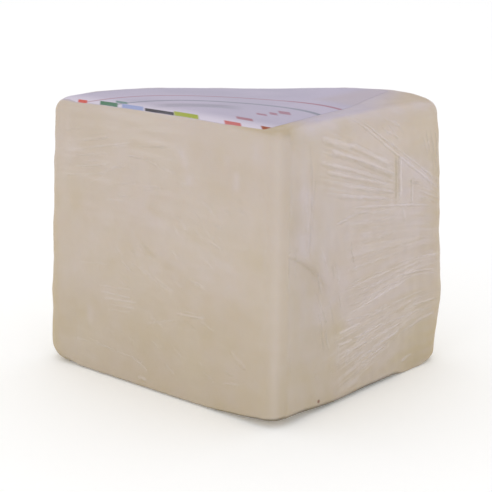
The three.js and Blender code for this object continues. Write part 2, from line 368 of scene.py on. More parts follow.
# cheese: the wedge with uneven cut faces and a shallow scoop low on the right one
cheese = dict(
    columns=(90, 16, 80, 14, 90, 14), rows=(6, 16, 80, 18),
    grow=0.0003, footLift=0.00025, liftHeight=0.01,
    # waves over the faces: height and lengths along and up
    broadWaves=(0.00022, (0.035, 0.03)), fineWaves=(0.000066, (0.009, 0.008)),
    rindWaves=(0.00016, (0.02, 0.016)),
    # scoop on the right cut: circle, depth, bearings in degrees, and where it ends along the cut
    scoopCentre=(-0.0212, 0.0079), scoopRadius=0.0716, scoopDepth=0.0009, scoopStep=0.002,
    scoopFade=0.02, scoopBearings=(45, 65, 7), scoopEnd=0.06, groove=0.0007, grooveWidth=0.0012,
    ridge=0.0002, ridgeWidth=0.0016, ridgePlace=0.0056,
    paste=(0.506, 0.414, 0.272, 1), pale=(0.546, 0.463, 0.334, 1), straw=(0.50, 0.385, 0.185, 1),
    # top rind colour darkened as painted shade, cloud colour, and the pale colour of the painted highlight
    # up the tip
    topRindAndShade=(0.48, 0.38, 0.275, 1), topCloud=(0.448, 0.39, 0.455, 1), tipHighlight=(0.62, 0.54, 0.46, 1),
    # then the tip top's darker cream and its share, and place, width and share of the painted highlight up
    # the tip
    tipCream=(0.47, 0.375, 0.25, 1), tipCreamShare=0.75, tipHighlightPlace=0.0051, tipHighlightWidth=0.002,
    tipHighlightShare=0.36, cloudLine=(0.0505, 0.055), cloudSlope=0.30, cloudSoft=0.02,
    cloudStart=0.017, cloudRise=0.018,
    # painted shade at the foot and the height it fades over, then a lavender veil growing upwards
    paintedFootShade=0.94, paintedFootShadeHeight=0.07, veil=(0.70, 0.63, 0.79, 1), veilShare=0.16,
    # painted contact shadow, a brown line in the edge of the foot: colour, tilts where it starts and is
    # full, least and further share, and how far the strong part runs on the right cut and on the left one
    footLine=(0.085, 0.068, 0.01, 1), footLineTilt=(-0.15, -0.65), footLineShare=(0.3, 0.65),
    footLineReach=(0.076, 0.035),
    # painted light and painted shade in patches on the right cut: middle and half sizes in mm, strength
    lit=(0.75, 0.62, 0.47, 1), rightPaintedLight=((66, 112, 46, 10, 0.2), (100, 119, 14, 8, 0.12)),
    rightPaintedShade=((22, 50, 18, 30, 0.06), (13, 88, 7, 16, 0.03), (24, 78, 15, 13, 0.02)),
    speck=(0.028, 0.005), speckSize=0.0009, speckColour=(0.2, 0.075, 0.012, 1))


def cheeseRelief(s, z, tilt, rind):
    # even growth that fills the stand-in film, small waves over cut faces and rind, and a round scoop
    # on the right cut: inside a circle the face lies back, most at the circle's line, a narrow groove
    c = cheese
    height, sizes = c["broadWaves"]
    fineHeight, fineSizes = c["fineWaves"]
    rindHeight, rindSizes = c["rindWaves"]
    relief = c["grow"] + height * waves((s, z), sizes, 3) + fineHeight * waves((s, z), fineSizes, 4)
    relief = relief + rindHeight * rind * waves((s, z), rindSizes, 5)
    across, up = s + tipStart - c["scoopCentre"][0], z - c["scoopCentre"][1]
    depth = c["scoopRadius"] - np.hypot(across, up)
    bearing = np.degrees(np.arctan2(up, across))
    arc = window(bearing, *c["scoopBearings"]) * (s < c["scoopEnd"])
    lying = smooth(depth / c["scoopStep"] + 0.5) * smooth(1 - depth / c["scoopFade"])
    relief = relief - arc * c["scoopDepth"] * lying
    relief = relief - arc * c["groove"] * np.exp(-(depth / c["grooveWidth"]) ** 2)
    # a low ridge up the tip, a little right of its middle
    toRidge = s - plainColumns["ends"][4] - c["ridgePlace"]
    relief = relief + c["ridge"] * np.exp(-(toRidge / c["ridgeWidth"]) ** 2)
    return relief * window(tilt, -0.6, 0.9, 0.6)


def cheeseMaterial():
    # ivory paste with soft clouds and flecks, straw rind, and the parts named by the mesh's attributes,
    # among them painted light and shade
    n = Nodes("cheesePaste")
    cloud = n.span(n.noise(26, 4), 0.36, 0.64)
    fleck = n.span(n.noise(150, 2), 0.4, 0.7)
    colour = n.blend(n.times(cloud, 0.5), cheese["paste"], cheese["pale"])
    colour = n.blend(n.times(fleck, 0.12), colour, cheese["pale"])
    rind = n.times(n.attribute("rind"), n.span(n.noise(60, 3), 0.2, 0.7, 0.6, 1.0))
    colour = n.blend(rind, colour, cheese["straw"])
    up = n.split(n.place)[2]
    veiled = n.span(up, 0.0, wedge["height"], 0.0, cheese["veilShare"])
    colour = n.blend(veiled, colour, cheese["veil"])
    # the top: rind colour darkened as painted shade against the stronger light on a top, cloudy around the
    # label
    crust = n.blend(n.attribute("cloud"), cheese["topRindAndShade"], cheese["topCloud"])
    colour = n.blend(n.attribute("top"), colour, crust)
    colour = n.blend(n.attribute("tipTop"), colour, cheese["tipCream"])
    # painted highlight: a pale line up the rounded tip
    colour = n.blend(n.attribute("tip"), colour, cheese["tipHighlight"])
    # painted light in a band high on the right cut
    colour = n.blend(n.attribute("lit"), colour, cheese["lit"])
    # one brown crumb low on the right cut
    along, high = cheese["speck"]
    spot = np.append(along * unit(math.pi / 2 - wedge["tipAngle"] / 2), high) + toFrame
    away = n.add("ShaderNodeVectorMath", operation="DISTANCE")
    n.put(n.place, away.inputs[0])
    away.inputs[1].default_value = spot
    size = cheese["speckSize"]
    crumb = n.span(away.outputs["Value"], size * 0.6, size * 1.3, 0.9, 0.0)
    colour = n.blend(crumb, colour, cheese["speckColour"])
    # painted shade: a little darker towards the foot, where less light falls, and in the right cut's shade
    # patches
    paintedDarkening = n.span(up, 0.0, cheese["paintedFootShadeHeight"], 1 - cheese["paintedFootShade"], 0.0)
    colour = n.blend(n.plus(paintedDarkening, n.attribute("shade")), colour, (0.0, 0.0, 0.0, 1))
    # painted contact shadow along the edge of the foot
    colour = n.blend(n.attribute("footLine"), colour, cheese["footLine"])
    n.set("Base Color", colour)
    n.set("Roughness", n.span(n.noise(120, 2), 0.3, 0.7, 0.45, 0.6))
    n.set("Specular IOR Level", 0.25)
    n.set("Subsurface Weight", 0.15)
    n.set("Subsurface Radius", (1.0, 0.7, 0.4))
    n.set("Subsurface Scale", 0.002)
    n.bump(n.noise(320, 3), 0.12, 0.0002)
    return n.material


def tipCap(col, s, tilt, xyz):
    # 1 on the rounded top of the tip, falling to 0 on the wall, 3 cm behind and at the right edge
    near = smooth((0.03 - np.hypot(xyz[..., 0], xyz[..., 1])) / 0.015)
    return near * smooth((tilt - 0.3) / 0.7) * (1 - smooth((s + 0.003) / 0.009) * (s < col["ends"][0]))


def raiseFoot(xyz, z):
    # lifts the lowest part a hair off the floor
    xyz[..., 2] += cheese["footLift"] * (1 - smooth(z / cheese["liftHeight"]))


def makeCheese():
    # the wedge's skin with its relief, and a share for each colour at every point
    c = cheese
    col = outlineColumns(c["columns"])
    inset, z, tilt = bodyRows(col, *c["rows"])
    s = col["place"] + 0 * z
    xyz = skin(col, inset, z, tilt, cheeseRelief(s, z, tilt, col["rind"]))
    raiseFoot(xyz, z)
    rind = smooth(col["rind"] * 1.6 - 0.5) * window(tilt, -9, 1.2, 0.5)
    top = smooth((tilt - 0.9) / 0.5)
    # the top is cloudy around the label, up to a slanting line on the right
    lineX, lineY = c["cloudLine"]
    beside = lineX + c["cloudSlope"] * (xyz[..., 1] - lineY) - xyz[..., 0]
    tipWay = np.hypot(xyz[..., 0], xyz[..., 1])
    cloud = smooth(beside / c["cloudSoft"] + 0.5) * smooth((tipWay - c["cloudStart"]) / c["cloudRise"])
    tipTop = c["tipCreamShare"] * tipCap(col, s, tilt, xyz)
    # painted highlight: a pale line up the rounded tip, a little right of its middle
    toLine = s - col["ends"][4] - c["tipHighlightPlace"]
    tip = c["tipHighlightShare"] * np.exp(-(toLine / c["tipHighlightWidth"]) ** 2) * window(tilt, -0.6, 0.9, 0.5)
    # painted contact shadow: a brown line in the rounded underside edge of the foot, strongest on the
    # right cut and left of the tip
    start, full = c["footLineTilt"]
    least, further = c["footLineShare"]
    rightReach, leftReach = c["footLineReach"]
    strong = smooth((s - col["ends"][4] + leftReach) / 0.012)
    strong = np.maximum(window(s, -1.0, rightReach, 0.008), strong)
    footLine = least + further * strong * (0.8 + 0.2 * waves((s, 0 * s), (0.02, 1.0), 31))
    footLine = footLine * smooth((tilt - start) / (full - start)) * smooth((tilt + 1.5) / 0.25)
    # painted shade and painted light in patches on the right cut
    shade = patches(s + tipStart, z, c["rightPaintedShade"])
    lit = patches(s + tipStart, z, c["rightPaintedLight"])
    values = dict(rind=rind, top=top, cloud=cloud, tip=tip, tipTop=tipTop)
    values.update(lit=lit, footLine=footLine, shade=shade)
    piece = ringMesh("cheese_wedge", xyz[None], {key: grid[None] for key, grid in values.items()})
    finishPiece(piece, cheeseMaterial(), "cheese")


# label: paper on the top, cut with the cheese on the left, with rings and plain fields of colour
label = dict(
    columns=(60, 10, 60, 10, 60, 8), shares=18, thickness=0.00003, gap=0.00003, drape=0.0009,
    # straight edges on the right: a point and the bearing that looks out of the label
    edges=(((0.0145, 0.03075), -42.7), ((0.04875, 0.07675), -29.7)),
    paper=(0.48, 0.43, 0.545, 1), shade=(0.435, 0.397, 0.505, 1), bright=(0.63, 0.57, 0.67, 1),
    margin=(0.455, 0.395, 0.455, 1), marginStart=0.084, marginLine=((0.0309, 0.0816), 0.97),
    marginSoft=0.005, lineSoft=(-0.010, 0.008), brightReach=(0.018, 0.004),
    ringCentre=(-0.0352, 0.0149), ringSoft=0.006, fieldSoft=0.0005,
    # radius and half width of the rings, from and to across the part, strength and colour
    rings=((0.075, 0.001, -0.2, 0.2, 0.7, (0.36, 0.17, 0.22, 1)),
           (0.075, 0.0012, 0.014, 0.2, 0.5, (0.34, 0.14, 0.18, 1)),
           (0.0608, 0.0013, -0.2, 0.2, 0.72, (0.20, 0.22, 0.27, 1)),
           (0.0608, 0.0014, 0.016, 0.2, 0.4, (0.2, 0.22, 0.26, 1)),
           (0.0485, 0.0045, -0.044, -0.012, 0.45, (0.24, 0.24, 0.29, 1))),
    # fields in mm: from and to across the part, nearest and farthest from the left cut, and colour
    fields=((-79.5, -75.5, -3, 6, (0.60, 0.07, 0.035, 1)), (-69.8, -62.2, -3, 8, (0.045, 0.165, 0.08, 1)),
            (-63, -58, 8.5, 12, (0.16, 0.25, 0.24, 1)), (-60.3, -51.2, -3, 8, (0.30, 0.345, 0.58, 1)),
            (-50.6, -38.6, -3, 6.5, (0.02, 0.017, 0.026, 1)),
            (-38.6, -28.9, -3, 8.5, (0.32, 0.37, 0.016, 1)),
            (-18.8, -12.5, 0.5, 7, (0.52, 0.12, 0.11, 1)), (-13.4, -7.1, 13, 17, (0.36, 0.17, 0.21, 1)),
            (-4.5, -0.5, 26, 29, (0.36, 0.20, 0.26, 1)), (1, 4, 30, 34, (0.36, 0.20, 0.26, 1)),
            (5, 9.5, 34, 39, (0.36, 0.20, 0.26, 1)), (-4.8, -0.8, -3, 8.5, (0.30, 0.05, 0.001, 1))))


def labelMaterial():
    # mottled paper, brighter along the left cut, with rings and fields laid over it one by one
    n = Nodes("labelPaper")
    across, away, _ = n.split(n.place)
    x, y = n.minus(across, toFrame[0]), n.minus(away, toFrame[1])
    half = wedge["tipAngle"] / 2
    within = n.plus(n.times(x, math.cos(half)), n.times(y, math.sin(half)))
    colour = n.blend(n.span(n.noise(30, 3), 0.35, 0.65), label["paper"], label["shade"])
    colour = n.blend(n.span(within, *label["brightReach"]), colour, label["bright"])
    # rings around a centre; the paper is pinker outside them, up to a slanting line
    centreX, centreY = label["ringCentre"]
    radius = n.distance(n.minus(x, centreX), n.minus(y, centreY))
    (lineX, lineY), slope = label["marginLine"]
    line = n.times(n.minus(x, lineX), slope)
    below = n.minus(line, n.minus(y, lineY))
    start, soft = label["marginStart"], label["marginSoft"]
    outside = n.times(n.span(radius, start - soft, start + soft), n.span(below, *label["lineSoft"]))
    colour = n.blend(outside, colour, label["margin"])
    for ring, width, low, high, strength, ink in label["rings"]:
        away = n.math("ABSOLUTE", n.minus(radius, ring))
        along = between(n, x, low, high, label["ringSoft"])
        share = n.times(along, n.span(away, width * 0.5, width * 1.3, strength, 0.0))
        colour = n.blend(share, colour, ink)
    for low, high, near, far, ink in label["fields"]:
        across = between(n, x, low / 1000, high / 1000, label["fieldSoft"])
        inward = between(n, within, near / 1000, far / 1000, label["fieldSoft"])
        colour = n.blend(n.times(across, inward), colour, ink)
    n.set("Base Color", colour)
    n.set("Roughness", 0.65)
    n.set("Specular IOR Level", 0.25)
    n.bump(n.noise(500, 3), 0.1, 0.0001)
    return n.material


def makeLabel():
    # rings of the flat top drawn in from its edge, or from the label's straight edges on the right
    col = outlineColumns(label["columns"])
    widest = 1 - (col["topRound"] - label["drape"] * (1 - col["rind"])) / col["reach"]
    for spot, turn in label["edges"]:
        across = unit(math.radians(turn))
        toEdge = (np.array(spot) - wedge["middle"]) @ across
        toOutline = (col["point"] - wedge["middle"]) @ across
        widest = np.minimum(widest, toEdge / np.maximum(toOutline, toEdge))
    share = 1 - np.linspace(1, 0, label["shares"])[:, None] ** 2
    inset = col["reach"] * (1 - share * widest)
    tilt = np.arccos(np.clip(1 - inset / col["topRound"], 0, 1))        # bent over the rounded edge
    z = wedge["height"] - col["topRound"] * (1 - np.sin(tilt))
    under = skin(col, inset, z, tilt, label["gap"])
    over = skin(col, inset, z, tilt, label["gap"] + label["thickness"])
    piece = ringMesh("paper_label", np.concatenate([under, over[::-1]])[None], {})
    finishPiece(piece, labelMaterial(), "label")


# film: clear skin over everything, with folds that fan out from a gather behind the right corner
film = dict(
    columns=(110, 18, 120, 10, 90, 10), rows=(5, 8, 150, 24), foldRows=30, foldPoints=10,
    gap=0.00015, topGap=0.0004, footGap=0.0001, foldHeight=0.0003, tint=(0.78, 0.72, 0.98, 1),
    # then the colour of the light lines and fold tops, hazier film with a painted highlight, and the
    # painted shade of folds and dark lines with its share
    bright=(0.97, 0.89, 0.95, 1), paintedFoldShade=(0.28, 0.21, 0.065, 1), paintedFoldShadeShare=0.75,
    # cloudiness: at the top and foot of the walls, on the label and beyond it, and the most anywhere
    hazeTop=0.07, hazeFoot=0.075, hazeLabel=0.024, hazeBeyond=0.02, thickest=0.235, tipClear=0.7,
    # its waves: on the walls, on the left cut, as veils on the right cut, and on the top
    hazeWaves=0.02, leftWaves=0.015, veilWaves=0.028, topWaves=0.012,
    # light band of haze in the right edge of the top, partly a painted highlight: span along it, tilt and
    # its width, haze and waves
    edgeSpan=(0.014, 0.110, 0.012), edgeTilt=(0.9, 0.34), edgeHighlightHaze=(0.11, 0.04),
    cornerHaze=0.14, cornerSpan=(0.109, 0.110, 0.004), cornerHeight=(0.06, 0.07, 0.025),
    # gather behind the right corner: place, size, height of the knot, its pleats and their share
    gather=(0.167, 0.060), gatherSize=0.012, knotHeight=0.002, pleats=11, pleatShare=0.35,
    # brushed lines: strength, turn in degrees, scale, where they rise and fall along the left cut and
    # rise in height, and their share elsewhere
    brush=0.055, brushTurn=8, brushScale=(30, 330, 1), brushRise=(0.30, 0.33), brushFall=(0.40, 0.36),
    brushHeight=(0.070, 0.095), brushLeast=0.3,
    # folds: strength of those on the left cut, share of the length that tapers, share that bends
    leftPower=1.3, foldTaper=0.15, foldBend=0.0018, bendLength=(0.006, 0.016),
    # grain of the fans across their bearings and along their reach, and its soft ends in metres
    fanGrain=(1.6, 22.0), fanNear=0.014, fanFar=0.022,
    # fans of streaks: the point they run to (mm along the outline from the tip, and height), bearings
    # in degrees seen from it, nearest and farthest reach in mm, streaks in a degree and strength
    fans=(
        (167, 62, 13.5, 24.5, 84, 157, 1.0, 0.07), (167, 60, -2, 13, 56, 132, 0.8, 0.05),
        (167, 58, -10, -2.5, 50, 136, 0.9, 0.10), (150, 40, -19, -3.5, 34, 124, 1.2, 0.11),
        (167, 62, 14, 30, 48, 84, 0.6, 0.05)),
    # fans of folds: the same, with the number of folds, and their half width
    folds=(
        (167, 62, 13.5, 24, 86, 146, 6, 0.07, 0.6), (167, 62, 5, 11, 88, 126, 4, 0.05, 0.8),
        (167, 60, -1, 5, 62, 124, 4, 0.06, 0.8), (167, 58, -10, -2.5, 57, 130, 5, 0.11, 0.6),
        (150, 40, -18.5, -4, 41, 118, 6, 0.11, 0.5), (167, 62, 15, 27, 52, 86, 5, 0.06, 0.8),
        (167, 60, 40, 320, 16, 62, 56, 0.13, 0.85)),
    # single folds and streaks: from and to in mm, half width and strength, painted shade below nought
    rightStreaks=(
        (76, 99.6, 44, 114.3, 2.1, 0.20), (50, 111.3, 26, 118.7, 2.0, 0.17),
        (79, 95, 47, 108.2, 2.0, 0.21), (52, 106.3, 32, 112.8, 1.8, 0.17),
        (72, 93.6, 44, 103.5, 1.4, 0.17), (48, 102.2, 25, 109.2, 1.3, 0.16),
        (76, 91.2, 27, 105.2, 1.3, 0.17), (79, 87.4, 48, 95.4, 1.3, 0.17), (74, 85.6, 36, 93.2, 1.4, 0.16),
        (38, 109.8, 26.5, 113.5, 0.8, 0.1), (38, 111.6, 27, 115.3, 0.7, 0.08),
        (60, 83, 49, 82.7, 0.9, 0.1), (51, 82.7, 37, 80.9, 0.9, 0.1), (80, 116.9, 70.7, 120.8, 0.9, 0.1),
        (80.2, 111.8, 70.9, 115.8, 0.8, 0.1), (80.5, 106.2, 71, 113.3, 0.8, 0.1),
        (101.3, 101.4, 98, 110, 0.7, 0.12), (110.5, 84.5, 48, 124.4, 0.8, 0.22),
        (111, 87.5, 51, 124.4, 0.6, 0.17), (96.4, 88.7, 88.1, 91.6, 0.7, -0.08),
        (84, 103, 58, 120, 0.6, 0.08), (81.8, 83.5, 80.8, 105, 1.7, 0.23), (90.9, 80, 90.3, 93, 1.3, 0.18),
        (86.4, 72.5, 84.1, 79.5, 1.2, 0.12), (79, 83, 78.1, 105.3, 0.8, -0.18),
        (80, 111, 72, 119, 0.5, 0.1), (84, 113, 76, 120, 0.5, 0.09), (75, 113, 68, 118, 0.5, 0.08),
        (107.4, 77.3, 45, 86.8, 0.8, 0.17), (79.4, 78.1, 63.8, 77.6, 0.6, 0.08),
        (79.6, 76.6, 67.4, 75.8, 0.6, 0.08), (79.5, 80.3, 63.6, 81.5, 0.6, 0.08),
        (81, 70, 50, 69, 0.8, 0.05), (103, 102, 99.6, 113, 0.5, 0.14), (107.4, 95, 103.8, 111, 0.5, 0.15),
        (105.6, 92, 103, 114, 0.8, -0.05), (108.6, 91, 106.3, 114, 0.9, -0.04),
        (109.6, 90, 106.8, 113, 0.5, 0.14), (6.6, 54, 6.3, 106, 0.5, 0.05),
        (92.6, 8.6, 86.3, 6.7, 0.7, 0.13), (49.8, 83, 38.6, 81, 0.6, 0.06),
        (51.5, 39.9, 88.3, 44.9, 0.7, 0.22), (50.3, 46.4, 71.7, 48.4, 0.6, 0.17),
        (83.3, 48.3, 107, 47, 0.7, 0.19), (90.1, 52.2, 98.3, 53, 0.6, -0.1),
        (75.4, 36, 101.9, 37.4, 0.7, 0.17), (85.2, 30.9, 109.6, 32.4, 0.7, 0.2),
        (64.9, 35.8, 75.3, 36.7, 0.6, 0.16), (39.8, 31.9, 56, 33, 1.0, 0.19),
        (40, 26.5, 50.7, 26.7, 1.2, 0.18), (50.6, 26.8, 73.8, 29, 0.55, 0.21),
        (51, 24.9, 73.3, 27.3, 0.55, 0.19), (62, 23.1, 85.2, 25.5, 0.6, 0.22),
        (62.7, 18.9, 85.4, 22.2, 0.55, 0.2), (62.3, 15.6, 79, 19.3, 0.55, 0.2),
        (55.7, 13.4, 74.8, 17.9, 0.55, 0.18), (44.8, 21.8, 62, 23.4, 0.7, 0.16),
        (45.9, 16.9, 59.5, 19.7, 0.6, 0.17), (51.5, 15.3, 65.8, 18.7, 0.55, 0.15),
        (86.1, 6.1, 94.9, 8.2, 0.8, 0.17), (90.9, 20.7, 109.6, 26.1, 0.6, 0.17),
        (61.6, 34, 78.3, 35.6, 0.6, 0.14), (47.3, 52.8, 78, 53.6, 0.5, 0.12),
        (80, 54.3, 109.4, 54.2, 0.5, 0.14), (49.7, 49.2, 86.8, 48.2, 0.5, 0.14),
        (86, 46.2, 107.3, 45.5, 0.5, 0.13), (46.5, 42.6, 89.4, 46.2, 0.5, 0.15),
        (43.2, 36.7, 72, 35.2, 0.6, 0.12), (65.7, 27.7, 108.4, 28.2, 0.5, 0.14)),
    leftStreaks=(
        (78, 45, 102.6, 42.7, 0.6, 0.06), (79, 41, 100.6, 40, 0.6, 0.08),
        (76, 39.2, 98.6, 37.3, 0.7, 0.085), (78, 36.4, 94.5, 35, 0.6, 0.06),
        (80, 34, 96, 32.4, 0.5, 0.045), (37, 40.6, 54, 39.5, 0.8, 0.09), (42, 41.5, 50, 41.5, 0.5, 0.05),
        (76.1, 111.4, 114.5, 103.8, 0.7, 0.06), (90.2, 111.7, 108.8, 108.3, 0.6, 0.045),
        (91.2, 104.9, 114.6, 101, 0.6, 0.05), (71.9, 105, 80, 105.2, 0.6, 0.05),
        (62.5, 102.4, 71.9, 105, 0.6, 0.055), (52.6, 100.8, 62.5, 102.4, 0.6, 0.05),
        (98.2, 100.9, 106, 99.3, 0.6, 0.045), (91.4, 99.9, 114.8, 96, 0.6, 0.055),
        (81.6, 100, 90.7, 98.6, 0.6, 0.05), (111, 92.6, 120.6, 91.7, 0.6, 0.045),
        (62.7, 94, 72.4, 92.4, 0.6, 0.06), (92, 95.4, 117, 92, 0.5, 0.04),
        (64.4, 61.9, 75.1, 67.3, 0.7, -0.05), (73.7, 64.2, 76.6, 65.8, 0.6, 0.06),
        (27.6, 72.7, 35.8, 75.4, 0.6, 0.055), (55.9, 48, 63.2, 51, 0.7, 0.055),
        (40.6, 54.2, 44.4, 56.4, 0.6, 0.05), (15, 90, 18, 92.5, 0.5, 0.05),
        (16.5, 89.5, 20, 92.5, 0.5, -0.04), (18, 89.5, 21, 92, 0.5, 0.05), (7.6, 97, 8.4, 100, 0.5, 0.05),
        (9.4, 97, 8.6, 100, 0.5, 0.05), (93, 14.2, 118, 14, 0.6, 0.05), (89, 13, 112, 16.5, 0.5, 0.04),
        (54, 36.4, 72, 31, 0.6, 0.045), (94, 54, 113, 51.5, 0.5, 0.045), (69.5, 52.6, 81, 58, 0.5, 0.045),
        (72, 4.1, 78, 4.2, 1.4, 0.12), (68.1, 52.6, 75.4, 56.7, 0.7, 0.06),
        (63.7, 50.1, 70.9, 55.4, 0.6, -0.05), (55, 48.6, 65.1, 53.2, 0.7, 0.06),
        (80, 52.4, 86, 56.9, 0.7, 0.05), (47.3, 78.7, 54.3, 82.8, 0.6, 0.05),
        (37.6, 75.1, 43.1, 78.3, 0.6, 0.05), (32.2, 63.2, 40.5, 68.1, 0.6, 0.045),
        (61.1, 31.4, 70, 35.1, 0.7, 0.055), (32.4, 35.8, 40.8, 39.4, 0.7, 0.055),
        (79.7, 13.2, 90.5, 13.5, 0.6, 0.05), (14.6, 22.4, 24.2, 30, 1.2, 0.05),
        (18.7, 14.7, 28.4, 13.9, 0.8, 0.05)),
    # short scratches: from and to along the cut and in height, slope in degrees, length, number, strength
    rightScratches=(
        (10, 24, 70, 110, 88, 14, 14, 0.055), (26, 50, 30, 70, 107, 12, 16, 0.09),
        (8, 50, 6, 30, 88, 10, 8, 0.04)),
    leftScratches=(
        (40, 88, 44, 66, 31, 6, 12, 0.05), (10, 62, 68, 98, 33, 5, 16, 0.045),
        (15, 95, 8, 36, 28, 6, 14, 0.045), (60, 118, 84, 114, -9, 15, 14, 0.045)),
    # smears on the two cuts: from and to in mm, half width and strength
    rightSmears=(
        (14.6, 116, 15.9, 99, 3.4, 0.055), (14, 97, 15, 73, 4, 0.065), (19, 96, 19.5, 72, 3, 0.05),
        (29.5, 68, 35.5, 49, 3.6, 0.085), (41, 58, 48.5, 34, 3.6, 0.085), (23, 50, 28, 42, 3, 0.045),
        (78.2, 105, 79.1, 83, 1.0, -0.11), (84, 101, 104, 88.5, 3.5, 0.12), (60, 113, 76, 104, 3, 0.05),
        (85, 92, 86, 82, 3, 0.05)),
    leftSmears=(
        (80, 82, 8, 61, 5, 0.04), (69, 84, 19, 66, 1.6, -0.04), (76, 70.5, 70, 63.5, 1.6, -0.03),
        (70, 63.5, 50, 57.5, 1.6, -0.03), (21, 105, 21.2, 100, 1.6, 0.09),
        (45.6, 99.8, 45.8, 98.8, 1.8, 0.08), (49.5, 110, 47.6, 106, 1.8, 0.07),
        (25.8, 111, 25.8, 109, 1.8, 0.06), (106.6, 31, 106.6, 25, 1.8, 0.06),
        (11.7, 118, 12, 114, 3, 0.05), (105, 75, 104, 66, 1.2, 0.035), (60, 108, 40, 96, 6, 0.02)),
    # cloudier and clearer patches: middle and half sizes in mm, strength
    rightPatches=(
        (52, 104, 24, 10, 0.03), (5, 123, 6, 5, -0.07), (44, 120, 6, 4, -0.08), (39, 35, 8, 6, -0.06),
        (55, 76, 7, 6, -0.04), (98, 14, 16, 13, -0.08), (95, 112, 12, 9, -0.04), (107, 101, 5, 17, -0.1),
        (72, 46, 26, 9, 0.06), (66, 23, 24, 10, 0.07), (88, 60, 20, 14, 0.045), (62, 85, 45, 30, 0.03),
        (46, 64, 18, 26, 0.045), (74, 43, 16, 5, 0.045), (48, 12, 17, 9, 0.04), (85, 45, 28, 35, 0.035),
        (30, 78, 12, 20, 0.03), (46, 34, 6, 5, -0.06), (52, 23.8, 5, 4, -0.06), (74, 13, 13, 6, 0.04),
        (92, 80, 12, 14, 0.035), (55, 82, 15, 9, 0.05), (58, 72, 16, 8, 0.03), (80, 77, 16, 9, 0.04),
        (101, 72, 10, 9, 0.035), (48, 54, 13, 12, 0.03), (54, 38, 10, 8, 0.06), (14, 44, 10, 14, 0.045),
        (27, 42, 8, 12, 0.035), (70, 41, 10, 8, 0.03), (74, 28, 14, 6, 0.02), (48, 18, 8, 6, 0.035),
        (87, 16, 8, 6, 0.035), (110, 28, 6, 14, 0.05), (108, 46, 6, 8, 0.04), (50, 118, 9, 6, 0.045),
        (13, 76, 5, 10, 0.045)),
    leftPatches=(
        (78, 88, 26, 9, 0.03), (9, 60, 8, 20, -0.03), (34, 58, 16, 9, 0.03), (114, 44, 13, 17, 0.035),
        (88, 50, 16, 12, 0.02), (84, 14, 10, 7, 0.025), (12, 71, 10, 6, -0.02), (40, 22, 14, 8, -0.015),
        (86, 81, 18, 8, 0.035), (58, 62, 14, 8, 0.03), (24, 40, 14, 7, 0.025), (92, 39, 16, 7, 0.02),
        (112, 102, 12, 14, -0.025), (75, 113, 10, 8, -0.045), (48, 14, 9, 6, -0.035),
        (34, 94, 12, 8, -0.025), (114, 82, 8, 8, -0.02)))


def filmHaze(col, s, z, tilt, xy):
    # cloudiness of the film: a slow rise from foot to top with broad waves, plus smears and patches
    # on the two cuts, and less on the flat of the top
    f = film
    onRight = 1.0 * (s < col["ends"][1])
    onLeft = 1.0 * (s >= col["ends"][3]) * (s < col["ends"][4])
    rightWay, leftWay = s + tipStart, col["ends"][4] - s + tipStart
    haze = f["hazeFoot"] + (f["hazeTop"] - f["hazeFoot"]) * smooth(z / wedge["height"])
    haze = haze + f["hazeWaves"] * waves((s, z), (0.045, 0.04), 21)
    haze = haze + onRight * strokes(rightWay, z, f["rightSmears"])
    haze = haze + onRight * patches(rightWay, z, f["rightPatches"])
    haze = haze + onLeft * strokes(leftWay, z, f["leftSmears"])
    haze = haze + onLeft * patches(leftWay, z, f["leftPatches"])
    haze = haze + onLeft * f["leftWaves"] * waves((leftWay, z), (0.016, 0.014), 24)
    # veils stand upright near the tip and lie flatter farther along the right cut
    veils = waves((rightWay, z), (0.008, 0.022), 27) * smooth((0.06 - rightWay) / 0.03)
    flatter = waves((rightWay, z - 0.1 * rightWay), (0.024, 0.007), 28) * smooth((rightWay - 0.03) / 0.03)
    haze = haze + f["veilWaves"] * onRight * (veils + flatter)
    # partly a painted highlight: a band of extra haze along the right edge of the top
    middle, width = f["edgeTilt"]
    edgeMean, edgeWaves = f["edgeHighlightHaze"]
    edge = window(s, *f["edgeSpan"]) * np.exp(-((tilt - middle) / width) ** 2)
    haze = haze + edge * (edgeMean + edgeWaves * waves((s, z), (0.02, 0.02), 26))
    haze = haze + f["cornerHaze"] * window(s, *f["cornerSpan"]) * window(z, *f["cornerHeight"])
    onTop = smooth((tilt - 1.2) / 0.3)
    beyond = np.max([(xy - spot) @ unit(math.radians(turn)) for spot, turn in label["edges"]], 0)
    topHaze = f["hazeLabel"] + f["hazeBeyond"] * smooth(beyond / 0.001)
    topHaze = topHaze + f["topWaves"] * waves((xy[..., 0], xy[..., 1]), (0.06, 0.008), 25)
    haze = haze * (1 - onTop) + topHaze * onTop
    haze = haze * (1 - f["tipClear"] * tipCap(col, s, tilt, xy))
    return np.clip(haze, 0.01, f["thickest"])


def filmOff(s, z, tilt, rind):
    # the cheese's own relief and an even gap, smaller under the foot and larger over the label, with a
    # pleated knot at the gather
    f = film
    gap = f["gap"] + (f["topGap"] - f["gap"]) * smooth(np.sin(np.maximum(tilt, 0)))
    gap = gap + (f["footGap"] - f["gap"]) * smooth(-np.sin(np.minimum(tilt, 0)))
    off = gap + cheeseRelief(s, z, tilt, rind)
    across, up = s + tipStart - f["gather"][0], z - f["gather"][1]
    knot = np.exp(-(across ** 2 + up ** 2) / f["gatherSize"] ** 2)
    pleat = np.cos(f["pleats"] * np.arctan2(up, across))
    return off + f["knotHeight"] * knot * (1 + f["pleatShare"] * pleat)


